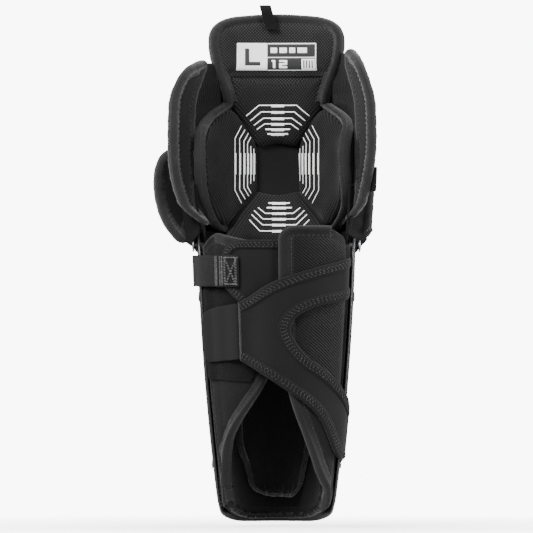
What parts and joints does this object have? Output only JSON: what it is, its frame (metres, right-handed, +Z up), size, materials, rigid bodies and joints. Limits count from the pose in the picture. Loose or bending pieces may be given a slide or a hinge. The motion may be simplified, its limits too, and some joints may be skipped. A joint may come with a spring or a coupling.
{
  "type": "ice hockey shin guard",
  "caption": "Youth ice hockey shin guard for the left leg: hinged knee and shin shells over foam, with padded knee cup, thigh flap, side wings, calf wings and a Y-shaped calf wrap.",
  "frame": {"origin": "on the leg's axis, level with the lowest point of the shin shell's front lip", "axes": "+Z up the leg from ankle to thigh, +Y forward out of the shin, +X to the wearer's right, which is the inner side of this left-leg guard"},
  "size_m": [0.1992, 0.1422, 0.4595],
  "materials": {
    "shell_plastic": "satin moulded black plastic",
    "liner_mesh": "fine brushed mesh lining",
    "foam_cloth": "brushed binding and nylon cloth over foam",
    "neoprene": "smooth knit over neoprene",
    "webbing": "woven elastic webbing",
    "loop_pile": "loop pile",
    "rivet_metal": "blackened steel",
    "label_print": "printed satin label"
  },
  "bodies": {
    "shin": {"shin_shell": "shell_plastic", "shin_foam": "foam_cloth", "shin_liner": "liner_mesh", "liner_hook_lower": "loop_pile", "liner_hook_upper": "loop_pile", "shell_rivet_outer_lower": "rivet_metal", "shell_rivet_outer_upper": "rivet_metal", "shell_rivet_inner_lower": "rivet_metal", "shell_rivet_inner_upper": "rivet_metal", "webbing_anchor": "webbing", "anchor_rivet": "rivet_metal"},
    "knee": {"knee_shell": "shell_plastic", "knee_foam": "foam_cloth", "knee_rivet_outer": "rivet_metal", "knee_rivet_inner": "rivet_metal", "knee_pad_top": "liner_mesh", "knee_pad_bottom": "liner_mesh", "knee_pad_outer": "liner_mesh", "knee_pad_inner": "liner_mesh"},
    "thigh": {"thigh_flap": "foam_cloth", "size_label": "label_print"},
    "loop": {"pull_loop": "webbing"},
    "knee_wing_outer_body": {"knee_wing_outer": "foam_cloth"},
    "knee_wing_inner_body": {"knee_wing_inner": "foam_cloth", "side_tab": "webbing"},
    "side_wing_outer_body": {"side_wing_outer": "foam_cloth"},
    "side_wing_inner_body": {"side_wing_inner": "foam_cloth"},
    "calf_wing_outer_body": {"calf_wing_outer": "foam_cloth", "loop_patch": "loop_pile"},
    "calf_wing_inner_body": {"calf_wing_inner": "foam_cloth"},
    "strap": {"strap_panel": "neoprene", "strap_webbing": "webbing"},
    "wrap": {"calf_wrap": "neoprene"},
    "tab": {"hook_tab": "neoprene"}
  },
  "joints": [
    {"name": "knee_flex", "type": "hinge", "parent": "shin", "child": "knee", "pos_m": [0, 0.005, 0.245], "axis": [1, 0, 0], "range_deg": [0, 15], "stiffness_Nm_per_rad": 1.5, "springref_deg": -6.88},
    {"name": "thigh_flap_bend", "type": "hinge", "parent": "knee", "child": "thigh", "pos_m": [0, 0.044, 0.393], "axis": [1, 0, 0], "range_deg": [-12, 12], "stiffness_Nm_per_rad": 0.4},
    {"name": "pull_loop_swing", "type": "hinge", "parent": "thigh", "child": "loop", "pos_m": [-0.004, 0.03, 0.437], "axis": [1, 0, 0], "range_deg": [0, 60], "stiffness_Nm_per_rad": 0.01},
    {"name": "knee_wing_outer_splay", "type": "hinge", "parent": "knee", "child": "knee_wing_outer_body", "pos_m": [-0.07533, 0.0026, 0.33], "axis": [0, 0, -1], "range_deg": [-3, 25], "stiffness_Nm_per_rad": 0.1},
    {"name": "knee_wing_inner_splay", "type": "hinge", "parent": "knee", "child": "knee_wing_inner_body", "pos_m": [0.07533, 0.0026, 0.33], "axis": [0, 0, 1], "range_deg": [-3, 25], "stiffness_Nm_per_rad": 0.1},
    {"name": "side_wing_outer_splay", "type": "hinge", "parent": "knee", "child": "side_wing_outer_body", "pos_m": [-0.06692, 0.033, 0.3], "axis": [0, 0, -1], "range_deg": [0, 20], "stiffness_Nm_per_rad": 0.1},
    {"name": "side_wing_inner_splay", "type": "hinge", "parent": "knee", "child": "side_wing_inner_body", "pos_m": [0.06692, 0.033, 0.3], "axis": [0, 0, 1], "range_deg": [0, 20], "stiffness_Nm_per_rad": 0.1},
    {"name": "calf_wrap_open", "type": "hinge", "parent": "shin", "child": "wrap", "pos_m": [0.04631, -0.01064, 0.01], "axis": [0.0761, -0.0125, 0.997], "range_deg": [0, 75]},
    {"name": "calf_wing_inner_open", "type": "hinge", "parent": "shin", "child": "calf_wing_inner_body", "pos_m": [0.04631, -0.01064, 0.01], "axis": [0.0761, -0.0125, 0.997], "range_deg": [0, 70]},
    {"name": "strap_open", "type": "hinge", "parent": "shin", "child": "strap", "pos_m": [-0.0695, -0.0145, 0.2225], "axis": [0.0761, 0.0125, -0.997], "range_deg": [0, 60]},
    {"name": "calf_wing_outer_open", "type": "hinge", "parent": "shin", "child": "calf_wing_outer_body", "pos_m": [-0.04631, -0.01064, 0.01], "axis": [0.0761, 0.0125, -0.997], "range_deg": [0, 60]},
    {"name": "hook_tab_peel", "type": "hinge", "parent": "wrap", "child": "tab", "pos_m": [-0.03244, -0.04891, 0.145], "axis": [-0.0293, -0.0439, 0.9986], "range_deg": [0, 60]}
  ],
  "couplings": [
    {"joint": "calf_wing_inner_open", "follows": "calf_wrap_open", "ratio": 0.9},
    {"joint": "strap_open", "follows": "calf_wrap_open", "ratio": 0.4},
    {"joint": "calf_wing_outer_open", "follows": "calf_wrap_open", "ratio": 0.36}
  ]
}
